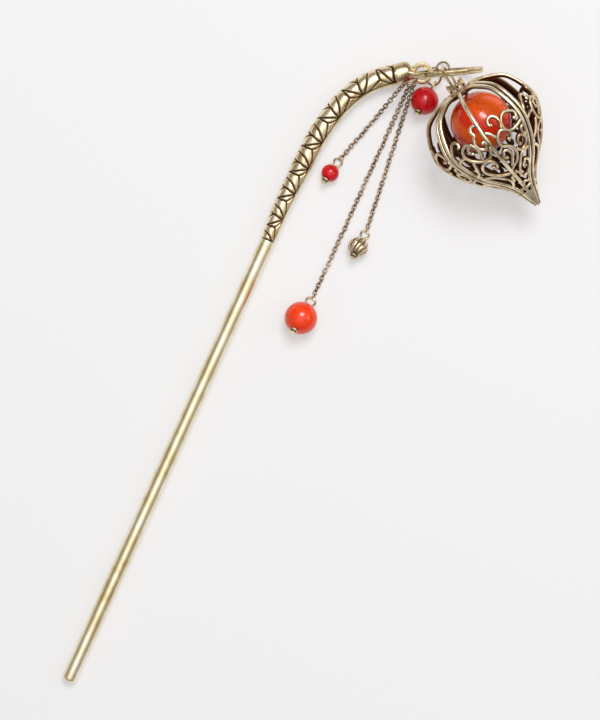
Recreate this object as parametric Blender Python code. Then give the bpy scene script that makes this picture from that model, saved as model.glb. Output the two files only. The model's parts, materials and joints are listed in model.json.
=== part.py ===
"""Decorative hair pin: a round stick with a carved, bent neck, a split ring hooked through its
end eye, three chain drops, a red bead and a lantern-shaped cage that holds a loose glass ball.

The pin lies on its side on a level surface at z = 0. All sizes below are in millimetres, and each
mesh is scaled to metres as it is made.
"""

from math import asin, cos, pi, radians, sin, sqrt

import bmesh
import bpy
from mathutils import Matrix, Vector

MM = 0.001

# Where the stick's tip lies from the middle of the object's footprint.
TIP_X, TIP_Y = -81.85, 24.88

# Stick, measured from the centre of its tip along the straight shaft.
SHAFT_R = 1.6
SHAFT_LENGTH = 108.6
TIP_Z, NECK_Z = 1.62, 2.95
NECK_START_R, NECK_MID_R, NECK_END_R = 1.85, 2.28, 2.38
NECK_ROUTE = [
    (109.0, 0.05),
    (118.4, 0.25),
    (127.4, -0.06),
    (134.7, -0.45),
    (141.75, -1.75),
    (147.6, -4.12),
    (151.85, -7.36),
    (154.5, -10.6),
]
COLLAR_R = 2.38
COLLAR_START = (154.75, -10.95)
COLLAR_END = (156.1, -13.66)
EYE_CENTRE = (157.35, -16.0)
EYE_R, EYE_WIRE_R = 1.94, 0.6

# Split ring: two turns of wire, hooked through the eye and standing almost upright.
RING_CENTRE = Vector((159.0, -20.9, 8.95))
RING_R, RING_WIRE_R, RING_TURN_GAP = 8.0, 0.3, 0.08
RING_HALF_WIDTH = 2 * RING_WIRE_R + RING_TURN_GAP / 2
RING_STEP_AT, RING_STEP_HALF = radians(180), radians(22)
RING_LEAN = radians(8)
RING_ALONG = Vector((0.491, -0.871, 0)).normalized()

# Small rings on the split ring: place on it in degrees, radius, and tilt in degrees.
SMALL_WIRE_R = 0.25
HANGER_AT, HANGER_R, HANGER_DROOP = -170, 1.45, 38
BEAD_RING_AT, BEAD_RING_R, BEAD_RING_TILT = -107.3, 1.95, 35.2
SIDE_RING_AT, SIDE_RING_R, SIDE_RING_TILT = -91, 1.6, 30
RING_PLAY = 0.15
LINK_AT, LINK_R, LINK_WIRE_R = 95, 2.95, 0.33

# Lantern cage: the middle of its hanging pin, the way its axis points, and its outline as
# (distance along the axis, radius) from the dimple at the top to the tip.
HUB = Vector((156.35, -23.95, 15.15))
CAGE_AXIS = Vector((-15.4, -27.0, -4.6)).normalized()
CAGE_ROLL = radians(12)
CAGE_OUTLINE = [
    (1.5, 2.05),
    (1.0, 4.1),
    (1.6, 6.9),
    (4.2, 11.1),
    (10.6, 13.6),
    (15.8, 12.3),
    (20.7, 9.1),
    (25.8, 4.1),
    (32.2, 0.9),
]
PETAL_NAMES = ("front", "right", "back", "left")
PETAL_WALL, PETAL_GAP = 1.0, 0.34
PETAL_ROWS = 17
RIB_WIDTH = 1.0
WINDOW_ROWS = range(2, 8)
WINDOW_COLUMNS = (1, 2, 3, 5, 6, 7)
BALL_R = 6.8
BALL_ALONG, BALL_SIDE_TURN, BALL_PLAY = 10.3, radians(7), 0.65

# Crown in the dimple, with two ears that hold the headed hanging pin.
CROWN_R, CROWN_TOP, CROWN_BOTTOM = 1.7, 1.6, 2.5
EAR_AT, EAR_WALL, EAR_R = 1.15, 0.5, 0.8
PIN_R, PIN_BORE_R, PIN_HEAD_R, PIN_HEAD_THICK = 0.36, 0.46, 1.15, 0.55

# Chains: how many stiff lengths stand for each, and where each starts round the hanger.
CHAIN_R, CHAIN_END_R, CHAIN_JOINT_GAP, CHAIN_START_GAP = 0.55, 0.3, 0.4, 0.8
CHAIN_Z = 0.62
CHAINS = {"short": (2, -50), "long": (5, -4), "middle": (3, 38)}

# Beads on their head pins: radius, loop radius, middle of the bead, and the level direction
# from the loop to the head in degrees.
PIN_WIRE_R, LOOP_WIRE_R, HEAD_R, HEAD_THICK = 0.3, 0.25, 0.65, 0.3
BEAD_BORE_R, BEAD_PLAY = 0.48, 0.1
CAP_R, CAP_THICK = 1.0, 0.35
NECK_LENGTH = 0.35
DROP_BEADS = {
    "short": (2.0, 0.95, (128.5, -6.5), 169),
    "long": (3.7, 1.1, (96.05, -14.0), 174),
    "middle": (2.3, 0.95, (115.9, -19.1), 176),
}
RED_BEAD_R, RED_LOOP_R = 3.18, 1.0
RED_BEAD_CENTRE, RED_PIN_WAY, RED_LOOP_Z = (151.92, -19.1), 175, 1.41

UP = Vector((0, 0, 1))
SIDE = UP.cross(RING_ALONG)
RING_UP = (UP * cos(RING_LEAN) + SIDE * -sin(RING_LEAN)).normalized()
RING_NORMAL = RING_ALONG.cross(RING_UP)


def clear_scene():
    for thing in list(bpy.data.objects):
        bpy.data.objects.remove(thing, do_unlink=True)


def finish(name, colour, roughness, metallic):
    """A plain material for one sub-part."""
    material = bpy.data.materials.new(name)
    material.use_nodes = True
    shader = material.node_tree.nodes["Principled BSDF"]
    shader.inputs["Base Color"].default_value = (*colour, 1)
    shader.inputs["Roughness"].default_value = roughness
    shader.inputs["Metallic"].default_value = metallic
    return material


SHAFT_BRASS = dict(colour=(0.66, 0.56, 0.34), roughness=0.3, metallic=1)
CARVED_BRASS = dict(colour=(0.48, 0.38, 0.2), roughness=0.35, metallic=1)
CHAIN_BRASS = dict(colour=(0.3, 0.22, 0.12), roughness=0.4, metallic=1)
CAGE_BRASS = dict(colour=(0.42, 0.32, 0.18), roughness=0.38, metallic=1)
RED_BEAD = dict(colour=(0.5, 0.0, 0.01), roughness=0.12, metallic=0)
ORANGE_BEAD = dict(colour=(0.85, 0.08, 0.01), roughness=0.12, metallic=0)
GLASS_BALL = dict(colour=(0.8, 0.1, 0.01), roughness=0.1, metallic=0)


class Body:
    """A group of pieces that move as one: an empty on its joint's axis carries them."""

    def __init__(self, name, pivot, parent=None):
        self.pivot = Vector(pivot)
        self.empty = bpy.data.objects.new(name + "_pivot", None)
        self.empty.empty_display_size = 2 * MM
        start = Vector((0, 0, 0))
        if parent:
            self.empty.parent = parent.empty
            start = parent.pivot
            self.empty.location = (self.pivot - start) * MM
        else:
            self.empty.location = (self.pivot + Vector((TIP_X, TIP_Y, 0))) * MM
        bpy.context.collection.objects.link(self.empty)

    def add(self, name, bm, look, sharp=50):
        """Keeps a mesh made in millimetres as a named piece of this body."""
        bmesh.ops.remove_doubles(bm, verts=bm.verts, dist=1e-5)
        bmesh.ops.recalc_face_normals(bm, faces=bm.faces)
        bm.transform(Matrix.Scale(MM, 4) @ Matrix.Translation(-self.pivot))
        mesh = bpy.data.meshes.new(name)
        bm.to_mesh(mesh)
        bm.free()
        mesh.shade_smooth()
        mesh.set_sharp_from_angle(angle=radians(sharp))
        mesh.materials.append(finish(name, **look))
        piece = bpy.data.objects.new(name, mesh)
        piece.parent = self.empty
        bpy.context.collection.objects.link(piece)
        return piece


def turned(across, along, centre=(0, 0, 0)):
    """A matrix whose X is across, whose Z is along, and whose origin is centre."""
    along = Vector(along).normalized()
    across = (Vector(across) - along * Vector(across).dot(along)).normalized()
    third = along.cross(across)
    turn = Matrix((across, third, along)).transposed().to_4x4()
    return Matrix.Translation(Vector(centre)) @ turn


def any_across(along):
    """Some direction that is square to this one."""
    along = Vector(along).normalized()
    least = min((abs(along[i]), i) for i in range(3))[1]
    return along.cross(Vector([1.0 if i == least else 0.0 for i in range(3)]))


def smooth_route(points, count):
    """Points spaced along a smooth curve that passes through the given ones."""
    points = [Vector(p) for p in points]
    ends = [2 * points[0] - points[1], *points, 2 * points[-1] - points[-2]]
    fine = []
    per_span = 16
    for k in range(len(points) - 1):
        a, b, c, d = ends[k : k + 4]
        for step in range(per_span + (k == len(points) - 2)):
            t = step / per_span
            line = 2 * b + (c - a) * t
            bend = (2 * a - 5 * b + 4 * c - d) * t**2 + (3 * b - a - 3 * c + d) * t**3
            fine.append((line + bend) / 2)
    lengths = [0.0]
    for p, q in zip(fine, fine[1:]):
        lengths.append(lengths[-1] + (q - p).length)
    route, k = [], 0
    for i in range(count):
        wanted = lengths[-1] * i / (count - 1)
        while k < len(fine) - 2 and lengths[k + 1] < wanted:
            k += 1
        share = (wanted - lengths[k]) / (lengths[k + 1] - lengths[k])
        route.append(fine[k].lerp(fine[k + 1], share))
    return route


def tube(route, radii, sides, closed=False):
    """A round tube whose rings stand square to its route, with flat caps unless it is closed."""
    bm = bmesh.new()
    rings = []
    across = None
    for i, place in enumerate(route):
        before = route[i - 1] if i or closed else place
        after = route[(i + 1) % len(route)] if i + 1 < len(route) or closed else place
        along = (after - before).normalized()
        across = any_across(along) if across is None else across
        across = (across - along * across.dot(along)).normalized()
        made = bmesh.ops.create_circle(bm, segments=sides, radius=radii[i])
        bmesh.ops.transform(bm, matrix=turned(across, along, place), verts=made["verts"])
        rings.append([e for e in bm.edges if all(v in made["verts"] for v in e.verts)])
    pairs = list(zip(rings, rings[1:] + rings[:1] if closed else rings[1:]))
    for one, other in pairs:
        bmesh.ops.bridge_loops(bm, edges=one + other)
    if not closed:
        bmesh.ops.holes_fill(bm, edges=rings[0] + rings[-1], sides=sides)
    return bm


def lathe(profile, sides, centre, along):
    """A solid turned about an axis from (radius, height) points, bottom to top."""
    bm = bmesh.new()
    dots = [bm.verts.new((r, 0, h)) for r, h in profile]
    lines = [bm.edges.new(pair) for pair in zip(dots, dots[1:])]
    if profile[0][0] and profile[-1][0]:
        lines.append(bm.edges.new((dots[-1], dots[0])))
    bmesh.ops.spin(
        bm,
        geom=dots + lines,
        cent=(0, 0, 0),
        axis=(0, 0, 1),
        angle=2 * pi,
        steps=sides,
        use_merge=True,
    )
    bmesh.ops.remove_doubles(bm, verts=bm.verts, dist=1e-5)
    bm.transform(turned(any_across(along), along, centre))
    return bm


def wire_ring(centre, normal, radius, wire_r, around=24, sides=8):
    """A closed ring of round wire."""
    profile = []
    for k in range(sides):
        turn = 2 * pi * (k + 0.5) / sides
        profile.append((radius + wire_r * cos(turn), wire_r * sin(turn)))
    return lathe(profile, around, centre, normal)


def bead(centre, radius, along, sides=20, rows=9, flutes=0):
    """A ball with a bore along one axis, smooth or with flutes from end to end."""
    top = asin(BEAD_BORE_R / radius)
    profile = []
    for k in range(rows + 1):
        turn = top + (pi - 2 * top) * k / rows
        profile.append((radius * sin(turn), -radius * cos(turn)))
    bm = lathe([(BEAD_BORE_R, h) for _, h in profile[:1]] + profile[1:-1]
               + [(BEAD_BORE_R, profile[-1][1])], sides, (0, 0, 0), UP)
    if flutes:
        for v in bm.verts:
            out = Vector((v.co.x, v.co.y, 0))
            if out.length > 2 * BEAD_BORE_R:
                turn = Vector((1, 0, 0)).angle(out)
                v.co -= out * (0.04 if cos(flutes * turn) < 0 else 0)
    bm.transform(turned(any_across(along), along, centre))
    return bm


def stick_z(x):
    """Height of the stick's middle: it rests on its tip and on its thicker neck."""
    return TIP_Z + (NECK_Z - TIP_Z) * min(x / NECK_ROUTE[-1][0], 1)


def lift(point):
    return Vector((point[0], point[1], stick_z(point[0])))


def build_stick():
    stick = Body("stick", (0, 0, TIP_Z))
    along = lift((SHAFT_LENGTH, 0)) - lift((0, 0))
    round_end = 0.55
    profile = [(0, 0), (SHAFT_R - round_end, 0)]
    profile += [
        (SHAFT_R - round_end * (1 - sin(a)), round_end * (1 - cos(a)))
        for a in (radians(30), radians(60), radians(90))
    ]
    profile += [(SHAFT_R, SHAFT_LENGTH), (0, SHAFT_LENGTH)]
    stick.add("stick_shaft", lathe(profile, 20, (0, 0, TIP_Z), along), SHAFT_BRASS)

    count = 30
    route = smooth_route([lift(p) for p in NECK_ROUTE], count)
    radii = []
    for k in range(count):
        share = k / (count - 1)
        if share < 0.4:
            radii.append(NECK_START_R + (NECK_MID_R - NECK_START_R) * share / 0.4)
        else:
            fall = (share - 0.4) / 0.6
            radii.append(NECK_MID_R + (NECK_END_R - NECK_MID_R) * fall)
    stick.add("carved_neck", tube(route, radii, 20), CARVED_BRASS)

    start, end = (Vector((*p, NECK_Z)) for p in (COLLAR_START, COLLAR_END))
    length = (end - start).length
    bevel = 0.35
    profile = [
        (0, 0),
        (COLLAR_R - bevel, 0),
        (COLLAR_R, bevel),
        (COLLAR_R, length - bevel),
        (COLLAR_R - bevel, length),
        (0, length),
    ]
    stick.add("end_collar", lathe(profile, 20, start, end - start), SHAFT_BRASS)
    eye = wire_ring(Vector((*EYE_CENTRE, NECK_Z)), UP, EYE_R, EYE_WIRE_R, 28, 10)
    stick.add("eye_loop", eye, SHAFT_BRASS)
    return stick


def on_ring(degrees_round, out=0.0):
    """A point on the middle of the split ring's wire, or further out."""
    turn = radians(degrees_round)
    reach = RING_R + out
    return RING_CENTRE + reach * (cos(turn) * RING_ALONG + sin(turn) * RING_UP)


def ring_tangent(degrees_round):
    turn = radians(degrees_round)
    return -sin(turn) * RING_ALONG + cos(turn) * RING_UP


def build_split_ring(stick):
    pivot = Vector((*EYE_CENTRE, NECK_Z)) + RING_ALONG * EYE_R
    ring = Body("split_ring", pivot, stick)
    steps = 90
    half_pitch = RING_WIRE_R + RING_TURN_GAP / 2
    first, last = RING_STEP_HALF, 4 * pi - RING_STEP_HALF
    route = []
    for k in range(steps + 1):
        turn = first + (last - first) * k / steps
        past_step = (turn - 2 * pi) / RING_STEP_HALF
        ease = min(max(past_step, -1), 1)
        aside = half_pitch * sin(ease * pi / 2)
        place = turn + RING_STEP_AT
        flat = cos(place) * RING_ALONG + sin(place) * RING_UP
        route.append(RING_CENTRE + RING_R * flat + aside * RING_NORMAL)
    radii = [RING_WIRE_R] * len(route)
    ring.add("split_ring", tube(route, radii, 8), SHAFT_BRASS)
    return ring


def small_ring(ring, name, at, radius, tilt, way):
    """A small ring round the split ring's wire, lying over to one side of it.

    Returns its body, and its middle and normal.
    """
    wire = on_ring(at)
    body = Body(name, wire, ring)
    steep = RING_ALONG * cos(radians(tilt)) + UP * sin(radians(tilt))
    aside = SIDE * way
    centre = wire + aside * (radius - SMALL_WIRE_R - RING_HALF_WIDTH - RING_PLAY)
    centre.z = radius * sin(radians(tilt)) + SMALL_WIRE_R + 0.03
    normal = steep.cross(aside).normalized()
    body.add(name, wire_ring(centre, normal, radius, SMALL_WIRE_R), CHAIN_BRASS)
    return body, centre, normal


def build_hanger(ring):
    """The ring at the split ring's near end that carries the three chains."""
    neck_way = (Vector((*COLLAR_END, 0)) - Vector((*COLLAR_START, 0))).normalized()
    level = neck_way.cross(UP)
    droop = radians(HANGER_DROOP)
    out = level * cos(droop) - UP * sin(droop)
    wire = on_ring(HANGER_AT)
    centre = wire + out * (HANGER_R - SMALL_WIRE_R - RING_WIRE_R - RING_PLAY)
    body = Body("chain_hanger", wire, ring)
    made = wire_ring(centre, out.cross(neck_way), HANGER_R, SMALL_WIRE_R)
    body.add("chain_hanger", made, CHAIN_BRASS)
    starts = {}
    for name, (_, turn) in CHAINS.items():
        round_it = radians(turn)
        starts[name] = centre + HANGER_R * (out * cos(round_it) + neck_way * sin(round_it))
    return body, starts


def head_pin(body, name, middle, radius, loop_r, along, flat):
    """A wire with a head past the bead and a loop at its other end.

    The loop lies in the plane of along and flat.
    """
    past_bead = radius + BEAD_PLAY + CAP_THICK + BEAD_PLAY
    tail = middle + along * (past_bead + HEAD_THICK)
    loop = middle - along * (radius + NECK_LENGTH + loop_r)
    route = [tail, tail - along * HEAD_THICK, tail - along * (HEAD_THICK + 0.02)]
    radii = [HEAD_R, HEAD_R, PIN_WIRE_R]
    route.append(middle - along * radius)
    radii.append(PIN_WIRE_R)
    first, last, steps = 22, 322, 13
    for k in range(steps + 1):
        turn = radians(first + (last - first) * k / steps)
        route.append(loop + loop_r * (along * cos(turn) + flat * sin(turn)))
        radii.append(LOOP_WIRE_R)
    body.add(name, tube(route, radii, 8), CHAIN_BRASS)


def cap(body, name, middle, radius, along):
    """A small washer between the bead and the pin's head."""
    base = middle + along * (radius + BEAD_PLAY)
    profile = [
        (BEAD_BORE_R, 0),
        (CAP_R, 0),
        (CAP_R * 0.8, CAP_THICK),
        (BEAD_BORE_R, CAP_THICK),
    ]
    body.add(name, lathe(profile, 14, base, along), CHAIN_BRASS)


def build_drop(name, hanger, start):
    """One chain of stiff lengths with a bead on a head pin at its far end."""
    radius, loop_r, place, way = DROP_BEADS[name]
    look = {"short": RED_BEAD, "long": ORANGE_BEAD, "middle": CHAIN_BRASS}[name]
    level = Vector((cos(radians(way)), sin(radians(way)), 0))
    aside = UP.cross(level)
    middle = Vector((*place, radius + 0.03))
    reach = radius + NECK_LENGTH + 2 * loop_r
    climb = asin((radius - LOOP_WIRE_R - 0.05) / reach)
    along = level * cos(climb) + UP * sin(climb)
    loop_far = middle - along * reach

    lengths = CHAINS[name][0]
    last = loop_far - level * (LOOP_WIRE_R + 0.1)
    last.z = CHAIN_Z
    body = hanger
    run = last - start
    knots = []
    for k in range(lengths + 1):
        knot = start + run * (k / lengths)
        knot.z = start.z if k == 0 else CHAIN_Z
        knots.append(knot)
    for k, (a, b) in enumerate(zip(knots, knots[1:]), 1):
        body = Body(f"{name}_chain_{k}", a, body)
        half = CHAIN_JOINT_GAP / 2
        way_on = (b - a).normalized()
        length = (b - a).length
        near = half + CHAIN_START_GAP if k == 1 else half
        ease = 1.2
        stops = [near, near + ease, length - half - ease, length - half]
        route = [a + way_on * stop for stop in stops]
        radii = [CHAIN_END_R, CHAIN_R, CHAIN_R, CHAIN_END_R]
        body.add(f"{name}_chain_{k}", tube(route, radii, 8), CHAIN_BRASS)

    swing = Body(f"{name}_pin", loop_far, body)
    head_pin(swing, f"{name}_head_pin", middle, radius, loop_r, along, aside)
    cap(swing, f"{name}_bead_cap", middle, radius, along)
    spin = Body(f"{name}_bead", middle, swing)
    flutes = 10 if name == "middle" else 0
    made = bead(middle, radius, along, flutes=flutes)
    spin.add(f"{name}_bead", made, look)


def crossing(centre, normal, radius, point, plane_normal):
    """Where a circle passes through a plane, at the place nearer to a point of that plane."""
    along = normal.cross(plane_normal).normalized()
    across = normal.cross(along)
    shift = (point - centre).dot(plane_normal) / across.dot(plane_normal)
    half = sqrt(radius**2 - shift**2)
    near = centre + across * shift
    return min((near + along * half, near - along * half), key=lambda p: (p - point).length)


def build_red_bead(bead_ring, ring_middle, ring_normal):
    way = radians(RED_PIN_WAY)
    middle = Vector((*RED_BEAD_CENTRE, RED_BEAD_R + 0.03))
    climb = asin((middle.z - RED_LOOP_Z) / (RED_BEAD_R + NECK_LENGTH + RED_LOOP_R))
    level = Vector((cos(way), sin(way), 0))
    along = level * cos(climb) + UP * sin(climb)
    upright = (UP - along * along.dot(UP)).normalized()
    loop = middle - along * (RED_BEAD_R + NECK_LENGTH + RED_LOOP_R)
    held = crossing(ring_middle, ring_normal, BEAD_RING_R, loop, along.cross(upright))
    swing = Body("red_pin", held, bead_ring)
    head_pin(swing, "red_head_pin", middle, RED_BEAD_R, RED_LOOP_R, along, upright)
    cap(swing, "red_bead_cap", middle, RED_BEAD_R, along)
    spin = Body("red_bead", middle, swing)
    spin.add("red_bead", bead(middle, RED_BEAD_R, along), RED_BEAD)


CAGE_LEVEL = CAGE_AXIS.cross(UP).normalized()
CAGE_TOP_WAY = (UP - CAGE_AXIS * UP.dot(CAGE_AXIS)).normalized()
CAGE_FRONT = CAGE_TOP_WAY * cos(CAGE_ROLL) + CAGE_LEVEL * sin(CAGE_ROLL)
CAGE_RIGHT = CAGE_FRONT.cross(CAGE_AXIS)


def round_cage(turn):
    """The outward direction at an angle round the cage from the middle of its front petal."""
    return CAGE_FRONT * cos(turn) + CAGE_RIGHT * sin(turn)


def petal(turn):
    """One quarter of the cage: three ribs with two windows above and a plain panel below."""
    outline = smooth_route([Vector((s, r, 0)) for s, r in CAGE_OUTLINE], PETAL_ROWS)
    bm = bmesh.new()
    outer, inner = [], []
    for k, here in enumerate(outline):
        before, after = outline[max(k - 1, 0)], outline[min(k + 1, PETAL_ROWS - 1)]
        run = (after - before).normalized()
        wall = min(PETAL_WALL, 0.55 * here.y)
        inside = here + Vector((run.y, -run.x, 0)) * wall
        for grid, place in ((outer, here), (inner, inside)):
            radius = max(place.y, 0.36)
            half = pi / 4 - asin(PETAL_GAP / 2 / radius)
            rib = min(RIB_WIDTH / radius, 0.36 * half)
            pane = (half - 1.5 * rib) / 3
            right = [rib / 2 + pane * n for n in range(4)] + [half]
            turns = [-t for t in reversed(right)] + right
            row = [
                bm.verts.new(HUB + CAGE_AXIS * place.x + round_cage(turn + t) * radius)
                for t in turns
            ]
            grid.append(row)
    columns = len(outer[0]) - 1
    solid = [
        [not (k in WINDOW_ROWS and c in WINDOW_COLUMNS) for c in range(columns)]
        for k in range(PETAL_ROWS - 1)
    ]
    for k in range(PETAL_ROWS - 1):
        for c in range(columns):
            if not solid[k][c]:
                continue
            for grid in (outer, inner):
                bm.faces.new(
                    (grid[k][c], grid[k][c + 1], grid[k + 1][c + 1], grid[k + 1][c])
                )
    around = [e for e in bm.edges if len(e.link_faces) == 1]
    outside = {v for row in outer for v in row}
    twin = {
        v: w for one, other in zip(outer, inner) for v, w in zip(one, other)
    }
    for edge in around:
        v, w = edge.verts
        if v in outside:
            bm.faces.new((v, w, twin[w], twin[v]))
    loose = [v for v in bm.verts if not v.link_faces]
    bmesh.ops.delete(bm, geom=loose, context="VERTS")
    return bm


def plate(middle, half_x, half_y, half_z, across, along):
    bm = bmesh.new()
    bmesh.ops.create_cube(bm, size=2)
    bmesh.ops.scale(bm, vec=(half_x, half_y, half_z), verts=bm.verts)
    bm.transform(turned(across, along, middle))
    return bm


def boolean(piece, other, operation):
    """Joins or cuts a piece with another, which is then kept only as a guide."""
    other.hide_render = True
    other.display_type = "WIRE"
    change = piece.modifiers.new(operation.lower(), "BOOLEAN")
    change.object = other
    change.operation = operation


def build_crown(cage):
    centre = HUB + CAGE_AXIS * CROWN_TOP
    depth = CROWN_BOTTOM - CROWN_TOP
    profile = [
        (0, 0),
        (CROWN_R - 0.25, 0),
        (CROWN_R, 0.25),
        (CROWN_R, depth),
        (0, depth),
    ]
    crown = cage.add("cage_crown", lathe(profile, 20, centre, CAGE_AXIS), CAGE_BRASS)
    low = CROWN_TOP + 0.4
    for side in (-1, 1):
        at = HUB + CAGE_RIGHT * side * EAR_AT
        bm = plate(
            at + CAGE_AXIS * low / 2, EAR_WALL / 2, EAR_R, low / 2, CAGE_RIGHT, CAGE_AXIS
        )
        arm = cage.add(f"ear_arm_{side}", bm, CAGE_BRASS)
        disc = [
            (0, -EAR_WALL / 2 - 0.01),
            (EAR_R + 0.02, -EAR_WALL / 2 - 0.01),
            (EAR_R + 0.02, EAR_WALL / 2 + 0.01),
            (0, EAR_WALL / 2 + 0.01),
        ]
        top = cage.add(f"ear_top_{side}", lathe(disc, 16, at, CAGE_RIGHT), CAGE_BRASS)
        boolean(crown, arm, "UNION")
        boolean(crown, top, "UNION")
    bore = [(0, -3), (PIN_BORE_R, -3), (PIN_BORE_R, 3), (0, 3)]
    cutter = cage.add("pin_bore", lathe(bore, 14, HUB, CAGE_RIGHT), CAGE_BRASS)
    boolean(crown, cutter, "DIFFERENCE")

    inside = EAR_AT + EAR_WALL / 2 + 0.08
    outside = inside + PIN_HEAD_THICK
    profile = [
        (0, -outside),
        (PIN_HEAD_R * 0.7, -outside),
        (PIN_HEAD_R, -outside + 0.2),
        (PIN_HEAD_R, -inside),
        (PIN_R, -inside),
        (PIN_R, inside),
        (PIN_HEAD_R, inside),
        (PIN_HEAD_R, outside - 0.2),
        (PIN_HEAD_R * 0.7, outside),
        (0, outside),
    ]
    cage.add("hanging_pin", lathe(profile, 16, HUB, CAGE_RIGHT), CAGE_BRASS)


def build_cage(ring):
    wire = on_ring(LINK_AT)
    toward = (HUB - wire).normalized()
    centre = HUB - toward * (LINK_R - LINK_WIRE_R - PIN_R - RING_PLAY / 2)
    normal = ring_tangent(LINK_AT) * -1 + CAGE_RIGHT
    normal = normal - toward * normal.dot(toward)
    link = Body("cage_link", wire, ring)
    link.add("cage_link", wire_ring(centre, normal, LINK_R, LINK_WIRE_R), SHAFT_BRASS)

    cage = Body("cage", HUB, link)
    build_crown(cage)
    for k, name in enumerate(PETAL_NAMES):
        cage.add(f"petal_{name}", petal(k * pi / 2), CAGE_BRASS, sharp=35)

    ball_out = CAGE_OUTLINE[4][1] - PETAL_WALL - BALL_R - BALL_PLAY
    low = -CAGE_TOP_WAY * cos(BALL_SIDE_TURN) - CAGE_LEVEL * sin(BALL_SIDE_TURN)
    axis_point = HUB + CAGE_AXIS * BALL_ALONG
    ball = Body("cage_ball", axis_point, cage)
    bm = bmesh.new()
    bmesh.ops.create_uvsphere(bm, u_segments=20, v_segments=12, radius=BALL_R)
    bm.transform(turned(CAGE_LEVEL, CAGE_AXIS, axis_point + low * ball_out))
    ball.add("cage_ball", bm, GLASS_BALL)


def main():
    clear_scene()
    stick = build_stick()
    ring = build_split_ring(stick)
    hanger, starts = build_hanger(ring)
    for name, start in starts.items():
        build_drop(name, hanger, start)
    bead_ring, middle, normal = small_ring(
        ring, "bead_ring", BEAD_RING_AT, BEAD_RING_R, BEAD_RING_TILT, -1
    )
    build_red_bead(bead_ring, middle, normal)
    small_ring(ring, "side_ring", SIDE_RING_AT, SIDE_RING_R, SIDE_RING_TILT, 1)
    build_cage(ring)


main()
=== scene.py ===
# %% [markdown]
# # A brass hair pin with a lantern cage
# The pin is a round brass stick with a carved, bent neck. A split ring at its end carries fine
# chains with beads and a pierced cage that holds a loose banded ball. The plain parts come ready
# made from the frame. This lesson models what needs more shape (the carving, the chain links, the
# beads, the scrollwork) and gives every part its finish.

# %% Load the frame
import json
from math import asin, cos, exp, pi, radians, sin, sqrt

import bmesh
import bpy
from mathutils import Matrix, Vector, noise

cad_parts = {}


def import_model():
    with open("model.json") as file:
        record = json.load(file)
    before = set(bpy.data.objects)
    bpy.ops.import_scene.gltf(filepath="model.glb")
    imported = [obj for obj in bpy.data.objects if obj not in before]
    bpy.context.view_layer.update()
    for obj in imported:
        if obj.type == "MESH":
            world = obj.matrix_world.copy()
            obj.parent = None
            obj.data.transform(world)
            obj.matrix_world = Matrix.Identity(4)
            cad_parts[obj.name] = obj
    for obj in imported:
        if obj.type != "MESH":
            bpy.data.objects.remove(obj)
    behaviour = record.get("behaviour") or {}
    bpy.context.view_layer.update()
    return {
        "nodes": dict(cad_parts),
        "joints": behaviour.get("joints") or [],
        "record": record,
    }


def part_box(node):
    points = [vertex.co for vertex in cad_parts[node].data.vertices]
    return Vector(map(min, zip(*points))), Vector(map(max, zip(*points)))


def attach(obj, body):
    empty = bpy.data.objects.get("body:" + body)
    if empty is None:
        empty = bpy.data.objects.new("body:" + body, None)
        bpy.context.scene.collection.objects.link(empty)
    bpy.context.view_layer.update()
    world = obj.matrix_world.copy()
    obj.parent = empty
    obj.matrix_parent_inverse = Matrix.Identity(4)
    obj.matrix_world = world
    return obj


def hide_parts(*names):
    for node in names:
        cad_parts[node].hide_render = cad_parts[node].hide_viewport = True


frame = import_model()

MM = 0.001
UP = Vector((0, 0, 1))

# %% [markdown]
# ## Where things are
# Lengths are easier to read in millimetres from the tip of the stick. One function turns them into
# the frame's metres. The joints say where each chain length begins, so nothing has to be fitted.

# %% Places
tip_face = Vector(frame["record"]["mounts"][0]["pos_m"]) / MM
TIP = Vector((tip_face.x, tip_face.y, 0))
TIP_Z, NECK_Z, BEND_X = 1.62, 2.95, 154.5


def world(point):
    """A place in millimetres from the stick's tip, as a place in the frame."""
    return (Vector(point) + TIP) * MM


def from_frame(point):
    return Vector(point) / MM - TIP


JOINTS = {joint["name"]: joint for joint in frame["joints"]}


def pivot(name):
    return from_frame(JOINTS[name]["pos_m"])


print("long chain starts at", pivot("long_chain_1_bend"))

# %% [markdown]
# ## Small tools for meshes
# A bent tube, a carved rod and a scroll are all a flat grid that is wrapped round a line. The grid
# comes from an operator, each corner is then moved to its place, and the seam is merged. Each mesh
# keeps a number on its corners, called relief, that is 1 on the parts a polishing cloth reaches
# and 0 in the hollows, so that the finish can leave dark patina where it stays on the real thing.
# On the cage's bars it is also low on their flanks and inner faces, and that dark is partly
# painted shade.

# %% Mesh tools
def smooth_route(points, per_span=12):
    """A smooth line through the points, as a list of places."""
    points = [Vector(p) for p in points]
    ends = [2 * points[0] - points[1], *points, 2 * points[-1] - points[-2]]
    line = []
    for k in range(len(points) - 1):
        a, b, c, d = ends[k : k + 4]
        for step in range(per_span + (k == len(points) - 2)):
            t = step / per_span
            bend = (2 * a - 5 * b + 4 * c - d) * t**2 + (3 * b - a - 3 * c + d) * t**3
            line.append((2 * b + (c - a) * t + bend) / 2)
    return line


def evenly(line, count):
    """The same line with its places spaced evenly."""
    lengths = [0.0]
    for p, q in zip(line, line[1:]):
        lengths.append(lengths[-1] + (q - p).length)
    even, k = [], 0
    for i in range(count):
        wanted = lengths[-1] * i / (count - 1)
        while k < len(line) - 2 and lengths[k + 1] < wanted:
            k += 1
        share = (wanted - lengths[k]) / max(lengths[k + 1] - lengths[k], 1e-9)
        even.append(line[k].lerp(line[k + 1], share))
    return even, lengths[-1]


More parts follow.
